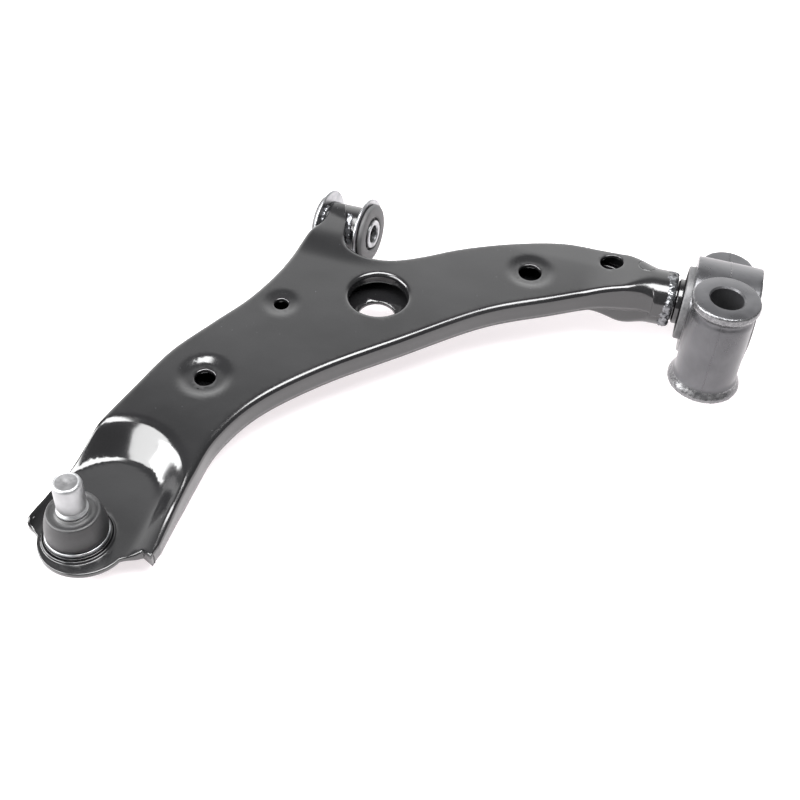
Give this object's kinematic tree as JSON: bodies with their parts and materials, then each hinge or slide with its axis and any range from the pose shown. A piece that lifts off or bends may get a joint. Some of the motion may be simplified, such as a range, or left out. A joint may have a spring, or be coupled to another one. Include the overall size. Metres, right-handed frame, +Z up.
{
  "type": "suspension control arm",
  "caption": "Curved pressed-steel lower control arm with a ball joint, a front bush in a welded eye, and a rear bush on a horn in a cast bracket.",
  "frame": {"origin": "centre of the footprint, on the surface that the part stands on", "axes": "+X rearwards along the line of the two bushes, +Y inboard away from the ball joint, +Z up"},
  "size_m": [0.4532, 0.4602, 0.086],
  "materials": {
    "black_paint": "semi-gloss black electrocoat",
    "plated_steel": "bright zinc plate",
    "bare_steel": "machined",
    "weld_metal": "painted weld bead",
    "coated_iron": "coated casting",
    "rubber": "satin",
    "polymer": "moulded"
  },
  "bodies": {
    "arm": {"upper_shell": "black_paint", "lower_shell": "black_paint", "front_eye_tube": "black_paint", "front_bush_sleeve_fore": "plated_steel", "front_bush_sleeve_aft": "plated_steel", "front_bush_rubber": "rubber", "eye_weld_aft": "weld_metal", "eye_weld_fore": "weld_metal", "rear_horn": "black_paint", "horn_weld": "weld_metal", "rear_bush_inner_sleeve": "bare_steel", "ball_joint_housing": "black_paint", "ball_joint_cap": "plated_steel", "ball_seat": "polymer", "boot_lower_ring": "plated_steel"},
    "front_pivot_sleeve": {"front_bush_inner_sleeve": "plated_steel"},
    "rear_mount": {"rear_bracket": "coated_iron", "rear_bush_outer_ring": "bare_steel", "rear_bush_rubber": "rubber"},
    "boot": {"dust_boot": "rubber"},
    "stud_swivel": {"boot_top_ring": "plated_steel"},
    "stud": {"ball_stud": "bare_steel"}
  },
  "joints": [
    {"name": "front_bush_twist", "type": "hinge", "parent": "arm", "child": "front_pivot_sleeve", "pos_m": [-0.1206, 0.1624, 0.04], "axis": [0.9895, -0.1215, 0.0785], "range_deg": [-20, 20], "stiffness_Nm_per_rad": 40},
    {"name": "rear_bush_twist", "type": "hinge", "parent": "arm", "child": "rear_mount", "pos_m": [0.1974, 0.1624, 0.04], "axis": [1, 0, 0], "range_deg": [-25, 25], "stiffness_Nm_per_rad": 60},
    {"name": "ball_tilt_across", "type": "hinge", "parent": "arm", "child": "boot", "pos_m": [-0.1896, -0.1986, 0.018], "axis": [1, 0, 0], "range_deg": [-18, 18], "deforming": ["dust_boot"]},
    {"name": "ball_tilt_along", "type": "hinge", "parent": "boot", "child": "stud_swivel", "pos_m": [-0.1896, -0.1986, 0.018], "axis": [0, 1, 0], "range_deg": [-12, 12], "deforming": ["dust_boot"]},
    {"name": "stud_spin", "type": "hinge", "parent": "stud_swivel", "child": "stud", "pos_m": [-0.1896, -0.1986, 0.018], "axis": [0, 0, 1], "continuous": true}
  ]
}
